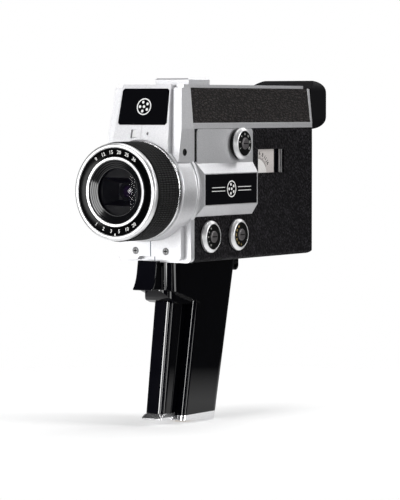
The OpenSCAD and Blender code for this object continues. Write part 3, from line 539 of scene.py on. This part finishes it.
def print_numbers(name, labels, turns, radius, size, place, ink, body, flip=False):
    """Numbers printed round a circle: the point (u, v) of a figure goes to
    c + u t + v n, where c is on the circle at the turn, n points outwards and t is to its right
    (n inwards when flipped); place(across, up, thick) puts that plane on the object."""
    parts = []
    for label, degrees in zip(labels, turns):
        curve = bpy.data.curves.new("figure", "FONT")
        curve.body, curve.size, curve.extrude = label, size, 0.00002
        curve.offset = size * 0.018
        curve.align_x, curve.align_y, curve.resolution_u = "CENTER", "CENTER", 3
        holder = bpy.data.objects.new("figure", curve)
        mesh = bpy.data.meshes.new_from_object(holder)
        flat = np.empty(len(mesh.vertices) * 3)
        mesh.vertices.foreach_get("co", flat)
        flat = flat.reshape(-1, 3)
        turn = math.radians(degrees)
        out = np.array([math.cos(turn), math.sin(turn)])
        normal = -out if flip else out
        right = np.array([normal[1], -normal[0]])
        at = out * radius + flat[:, :1] * right + flat[:, 1:2] * normal
        parts.append((np.stack(place(at[:, 0], at[:, 1], flat[:, 2]), -1),
                      [tuple(face.vertices) for face in mesh.polygons]))
        bpy.data.objects.remove(holder)
    starts = np.cumsum([0] + [len(points) for points, faces in parts])
    mesh = bpy.data.meshes.new(name)
    mesh.from_pydata(np.vstack([points for points, faces in parts]), [],
                     [tuple(int(v + start) for v in face)
                      for (points, faces), start in zip(parts, starts) for face in faces])
    shape = bmesh.new()
    shape.from_mesh(mesh)
    bmesh.ops.remove_doubles(shape, verts=shape.verts, dist=2e-6)
    bmesh.ops.recalc_face_normals(shape, faces=shape.faces)
    shape.to_mesh(mesh)
    shape.free()
    mounted(name, mesh, ink, body)


def printing_ink(name, colour):
    """Thick matte ink that covers a little unevenly."""
    made, s = finish(name, Specular_IOR_Level=0.2, Roughness=0.6)
    cover = s.add("TexNoise", Vector=s.add("TexCoord", out=3), Scale=5000.0, Detail=2.0)
    return feed(made, Base_Color=cover.mix(tuple(c * 0.8 for c in colour) + (1,), colour + (1,)))


white_ink = printing_ink("white_ink", (0.85, 0.85, 0.83))
ring_y, ring_inner, ring_slope, ink_lift = -0.0731, 0.0211, 0.0762, 0.00003
figure_radius, figure_size = 0.0238, 0.0030


def on_ring(across, up, thick):
    """The name ring's face, y = ring_y - ring_slope (r - ring_inner), with the ink just off it."""
    return (across, ring_y - ring_slope * (np.hypot(across, up) - ring_inner) - ink_lift - thick,
            axis_z + up)


print_numbers("ring_figures_upper", ("9", "12", "15", "20", "25", "36"), np.linspace(125, 55, 6),
              figure_radius, figure_size, on_ring, white_ink, "camera")
print_numbers("ring_figures_lower", ("1", "2", "3", "5", "10", "20"), np.linspace(235, 305, 6),
              figure_radius, figure_size, on_ring, white_ink, "camera", flip=True)

# ---- Barrel, cone, baffle and other satin black parts ----
# Satin black: lens barrel, rectangular light baffle, gauge housing and needle, eyepiece tube and
# strap lug. The cone with its fine turned steps and the barrel of the taking lens are glossier. A
# dull ring holds the front glass, and a bright rim the taking lens.

satin = speckled("satin_black", 2500.0, 2.0, (0.0015, 0.0015, 0.002), (0.005, 0.005, 0.006),
                 (0.15, 0.28), (0.15, 0.00005), Specular_IOR_Level=0.14)
steps = np.linspace(0, 1, 9)
cone_front = [(19.15 - 4.6 * t + (0.28 if i % 2 else 0), -72.7 + 1.9 * t) for i, t in enumerate(steps)]
cone_black = speckled("cone_black", 900.0, 2.0, (0.001, 0.001, 0.0015), (0.002, 0.002, 0.003),
                      (0.05, 0.08), Specular_IOR_Level=0.6)
cone = lathe("lens_cone_turned", rounded(
    cone_front + [(14.4, -70.6), (15, -70.6), (15, -60), (21, -60), (21, -70.2), (19.15, -70.2)],
    0.08, 3), cone_black)
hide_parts("lens_cone")
dull_ring = speckled("dull_ring", 1200.0, 2.0, (0.03, 0.03, 0.032), (0.07, 0.07, 0.07), (0.2, 0.25),
                     Metallic=0.5)
lathe("taking_lens_rim", rounded([(5.2, -59.4), (5.9, -59.6), (5.9, -58.6), (5.2, -58.6)], 0.1),
      satin_silver, count=64)
lathe("retaining_ring", rounded([(14.3, -70.85), (14.75, -71.0), (14.75, -70.6), (14.3, -70.6)], 0.1),
      dull_ring, count=96)


def coat(material, *names):
    """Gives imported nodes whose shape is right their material."""
    for name in names:
        cad[name].data.materials.clear()
        cad[name].data.materials.append(material)


coat(satin, "lens_barrel", "light_baffle", "gauge_needle", "gauge_housing", "eyepiece_tube")
coat(cone_black, "taking_lens_barrel")
soften("strap_lug", satin, 0.0004)

# ---- Glass ----
# The front glass and the gauge window are coated and nearly clear. The small taking lens and the
# eyepiece lens are thick and look dark.

glass, s = finish("lens_glass", Roughness=0.0, IOR=1.5, Specular_IOR_Level=0.4, Alpha=0.10)
place = s.add("TexCoord", out=3)
tint = s.add("TexNoise", Vector=place, Scale=40.0)
feed(glass, Base_Color=tint.mix((0.002, 0.002, 0.006, 1), (0.004, 0.003, 0.010, 1)))
coat(glass, "gauge_window")
across_glass = np.linspace(0, 14.85, 16)
dome = np.stack([across_glass, -70.8 + 0.6 * (across_glass / 14.9) ** 2], -1)
front_lens = lathe("front_lens", np.vstack([dome, [(14.85, -68.65), (0, -68.65)]]), glass,
                   count=96)
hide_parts("front_glass")
deep_glass, s = finish("deep_glass", Roughness=0.0, IOR=1.6)
place = s.add("TexCoord", out=3)
tint = s.add("TexNoise", Vector=place, Scale=60.0)
feed(deep_glass, Base_Color=tint.mix((0.002, 0.002, 0.012, 1), (0.012, 0.004, 0.02, 1)))
coat(deep_glass, "taking_lens_glass", "eyepiece_lens")

# ---- Knobs ----
# Three turned selector knobs: a bright rim with a broad bevel, a sunk black dial with printed
# figures, and a grey cap with a black bar across it, painted shade that stands for a slot. Each
# turns on a shaft, and the upper one has a black base.

knob_black = speckled("knob_base", 1800.0, 2.0, (0.002, 0.002, 0.002), (0.006, 0.006, 0.006),
                      (0.15, 0.32), Specular_IOR_Level=0.1)


def knob(name, outline, centre, material, body, count=128):
    """Turned about +X: point(u, v) = (x, cy + r cos u, cz + r sin u), outline of (r, x) in mm."""
    r, x = outline[:, 0, None] / 1000, outline[:, 1, None] / 1000
    u = np.linspace(0, 2 * math.pi, count, endpoint=False)[None]
    points = np.stack([x + 0 * u, centre[0] + r * np.cos(u), centre[1] + r * np.sin(u)], -1)
    return weave(name, points, material, body, closed_u=False)


dial_black = speckled("dial_black", 2200.0, 2.0, (0.0014, 0.0014, 0.0014), (0.004, 0.004, 0.004),
                      (0.15, 0.25), Specular_IOR_Level=0.15)
pale_ink = printing_ink("pale_ink", (0.6, 0.6, 0.58))
gold_ink = printing_ink("gold_ink", (0.5, 0.38, 0.16))
cap_grey = speckled("cap_grey", 1400.0, 3.0, (0.09, 0.085, 0.09), (0.2, 0.19, 0.19), (0.2, 0.28),
                    Metallic=0.7)


def facing_x(x, y, z):
    """The plane that faces +X at x, its middle at (y, z), with the ink just off it."""
    return lambda across, up, thick: (x + ink_lift + thick, y + across, z + up)


dial_figure_radius, dial_figure_size = 0.0058, 0.0018
# name, centre (y, z) in m, seat's x and height in mm, base's height, ink, figures, first and last turn
knobs = (("upper", (0.0212, 0.1716), 27.2, 5.4, 2.3, white_ink, ("1", "2", "4", "8", "15", "30", "60"),
          (210, -30)),
         ("front", (-0.0108, 0.1149), 26.5, 3.7, 0.0, pale_ink, ("0", "1", "2", "3", "4"),
          (240, 120)),
         ("rear", (0.021, 0.115), 26.5, 3.7, 0.0, gold_ink, ("9", "12", "18", "24", "32", "48"),
          (270, 120)))
for which, centre, seat, tall, base, ink, labels, span in knobs:
    top = seat + tall
    foot = seat + 0.2 + base
    outline = rounded([(9.55, foot), (9.85, foot + 0.3), (9.85, top - 1.6), (8.3, top - 0.15), (7.85, top),
                       (7.7, top - 0.15), (7.7, top - 0.62), (0.0, top - 0.62), (0.0, foot)],
                      0.35)[2:-4]
    # the closed curve is opened at its foot, so that it starts and ends on the axis
    outline = np.vstack([[0.0, foot], outline, [0.0, top - 0.62]])
    rim = knob(which + "_knob_turned", outline, centre, satin_silver,
               which + "_selector")
    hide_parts(which + "_knob")
    shaft = np.array([(0, seat - 7), (2, seat - 7), (2, foot), (0, foot)], float)
    knob(which + "_knob_shaft", shaft, centre, satin_silver, which + "_selector")
    if base:
        disc = np.array([(0, seat + 0.2), (9.2, seat + 0.2), (9.5, seat + 0.5), (9.5, foot), (0, foot)])
        knob(which + "_knob_base", disc, centre, knob_black, which + "_selector")
    coat(dial_black, which + "_dial")
    dial_face = facing_x(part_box(which + "_dial")[1].x, *centre)
    print_numbers(which + "_dial_figures", labels, np.linspace(span[0], span[1], len(labels)),
                  dial_figure_radius, dial_figure_size, dial_face, ink,
                  which + "_selector")
    dome = np.array([(0, -0.6), (3.6, -0.6), (3.6, 0.35), (3.35, 0.62), (2.9, 0.72), (1.6, 0.62), (0, 0.55)])
    cap = knob(which + "_knob_cap_turned", dome + [0, top], centre, cap_grey,
               which + "_selector", 64)
    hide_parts(which + "_knob_cap")
    # a thin black bar laid across the top of the cap: painted shade standing for a slot
    groove = np.array([(-0.3, 0.66), (0.3, 0.66), (0.3, 0.8), (-0.3, 0.8)])
    along = np.array([-2.6, 2.6])[:, None]
    slot_shade = np.stack([(top + groove[None, :, 1] + 0 * along) / 1000,
                      centre[0] + (along + 0 * groove[None, :, 0]) / 1000,
                      centre[1] + (groove[None, :, 0] + 0 * along) / 1000], -1)
    slot_shade = np.concatenate([slot_shade.mean(1, keepdims=True).repeat(4, 1)[:1], slot_shade,
                            slot_shade.mean(1, keepdims=True).repeat(4, 1)[1:]])
    weave(which + "_cap_slot_shade", slot_shade, knob_black, which + "_selector", closed_u=False)

# ---- Gauge ----
# A small gauge behind a window: a pale card printed with an arc of ticks and figures, a hair-thin
# needle from below, and a dark well beside it with two thin bright bars. The card glows faintly,
# painted light.

pivot_y, pivot_z = 0.0508, 0.1496
# the card glows faintly with its own colour: painted light that brightens it
card, s = finish("gauge_card", Specular_IOR_Level=0.2, Emission_Strength=0.35)
place = s.add("TexCoord", out=3)
y = s.add("SeparateXYZ", out=1, Vector=place) - pivot_y
z = s.add("SeparateXYZ", out=2, Vector=place) - pivot_z
far = s.math("SQRT", y * y + z * z)
turn = s.math("ARCTAN2", y, z) * (180 / math.pi)
swing = turn.between(-26.0, 56.0)
fine_tick = (s.math("PINGPONG", turn + 360.0, 2.5) < 0.9) * far.between(0.0122, 0.0134)
long_tick = (s.math("PINGPONG", turn + 360.0, 7.5) < 1.0) * far.between(0.0122, 0.0143)
print_mask = s.math("MINIMUM", (fine_tick + long_tick) * swing, 1.0)
paper = (far < 0.0119).mix((0.62, 0.58, 0.56, 1), (0.86, 0.84, 0.82, 1))
tone = print_mask.mix(paper, (0.05, 0.04, 0.04, 1))
feed(card, Base_Color=tone, Emission_Color=tone)
coat(card, "gauge_face")
dark_ink = printing_ink("dark_ink", (0.02, 0.02, 0.025))
gauge_figure_radius, gauge_figure_size = 0.0156, 0.0034
card_face = facing_x(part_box("gauge_face")[1].x, pivot_y, pivot_z)
print_numbers("gauge_figures", ("2", "4", "6", "8", "11", "16"), np.linspace(106, 38, 6),
              gauge_figure_radius, gauge_figure_size, card_face, dark_ink, "camera")

bar_x, bar_z = (0.0242, 0.0253), (0.1476, 0.1675)
for name, near, far in (("gauge_bar", 0.0764, 0.0772), ("gauge_pillar", 0.0744, 0.0747)):
    corners = [(x, y, z) for x in bar_x for y in (near, far) for z in bar_z]
    block(name, corners, satin_silver, 0.0001)

# ---- Eyecup and rubber flap ----
# Soft black rubber, moulded: the cup is slipped over the eyepiece, the flap covers the ports.

rubber = speckled("soft_rubber", 1500.0, 4.0, (0.0014, 0.0014, 0.002), (0.004, 0.004, 0.005),
                  (0.2, 0.55), (0.3, 0.00006), Specular_IOR_Level=0.08)
soften("eyecup", rubber, 0.0012, segments=4, keep=25.0)
soften("port_flap", rubber, 0.0002, "flap", segments=2)

# ---- Feet, slider and screws ----
# Two cast feet, polished bright, close the grip. The slider, the port sockets and the trigger's
# spring are bright too. The front screws have a dark cross painted on their heads, painted shade
# standing for a cross recess, and those in the sides are dark all over.

for part in ("front_foot", "rear_foot"):
    soften(part, polished, 0.0005)
soften("power_slider", polished, 0.0003, "slider", segments=2)
screw_x, screw_z, cross_half, cross_length = 0.0111, 0.1064, 0.00035, 0.0013
side_screws_from = 0.02
screw_steel, s = finish("screw_steel", Metallic=0.8)
place = s.add("TexCoord", out=3)
x = s.math("ABSOLUTE", s.add("SeparateXYZ", Vector=place))
z = s.add("SeparateXYZ", out=2, Vector=place)
wide, tall = s.math("ABSOLUTE", x - screw_x), s.math("ABSOLUTE", z - screw_z)
# a dark cross on each front screw head: painted shade standing for the cross recess
cross_shade = ((wide < cross_half) * (tall < cross_length)
         + (tall < cross_half) * (wide < cross_length))
dark = s.math("MINIMUM", cross_shade + (x > side_screws_from), 1.0)
wear = s.add("TexNoise", Vector=place, Scale=1600.0, Detail=3.0)
feed(screw_steel,
     Base_Color=(dark * 0.95 + wear * 0.05).mix((0.3, 0.3, 0.3, 1), (0.006, 0.006, 0.006, 1)),
     Roughness=wear * 0.2 + 0.3)
coat(screw_steel, "casing_screws")
coat(polished, "port_sockets", "trigger_spring")

# ---- Inside ----
# What can't be seen from outside: boards, switches, battery, finder display, and the brass bush of
# the tripod socket.

mask_green, s = finish("solder_mask", Specular_IOR_Level=0.5)
place = s.add("TexCoord", out=3)
track = s.add("TexBrick", Vector=place, Scale=260.0)
feed(mask_green, Base_Color=track.mix((0.004, 0.05, 0.02, 1), (0.02, 0.14, 0.05, 1)),
     Roughness=track * 0.2 + 0.25)
coat(mask_green, "sensor_board", "main_board", "finder_display")
shell_blue, s = finish("switch_shell", Roughness=0.4)
grain = s.add("TexNoise", Scale=900.0, Vector=s.add("TexCoord", out=3))
feed(shell_blue, Base_Color=grain.mix((0.01, 0.02, 0.06, 1), (0.02, 0.05, 0.14, 1)))
coat(shell_blue, "rotary_switches", "trigger_switch")
wrap, s = finish("battery_sleeve", Roughness=0.25)
grain = s.add("TexNoise", Scale=200.0, Vector=s.add("TexCoord", out=3))
feed(wrap, Base_Color=grain.mix((0.01, 0.07, 0.05, 1), (0.02, 0.13, 0.09, 1)))
coat(wrap, "battery")
brass = speckled("turned_brass", 1200.0, 2.0, (0.5, 0.34, 0.12), (0.68, 0.48, 0.22), (0.2, 0.18),
                 Metallic=1.0)
coat(brass, "tripod_bush")
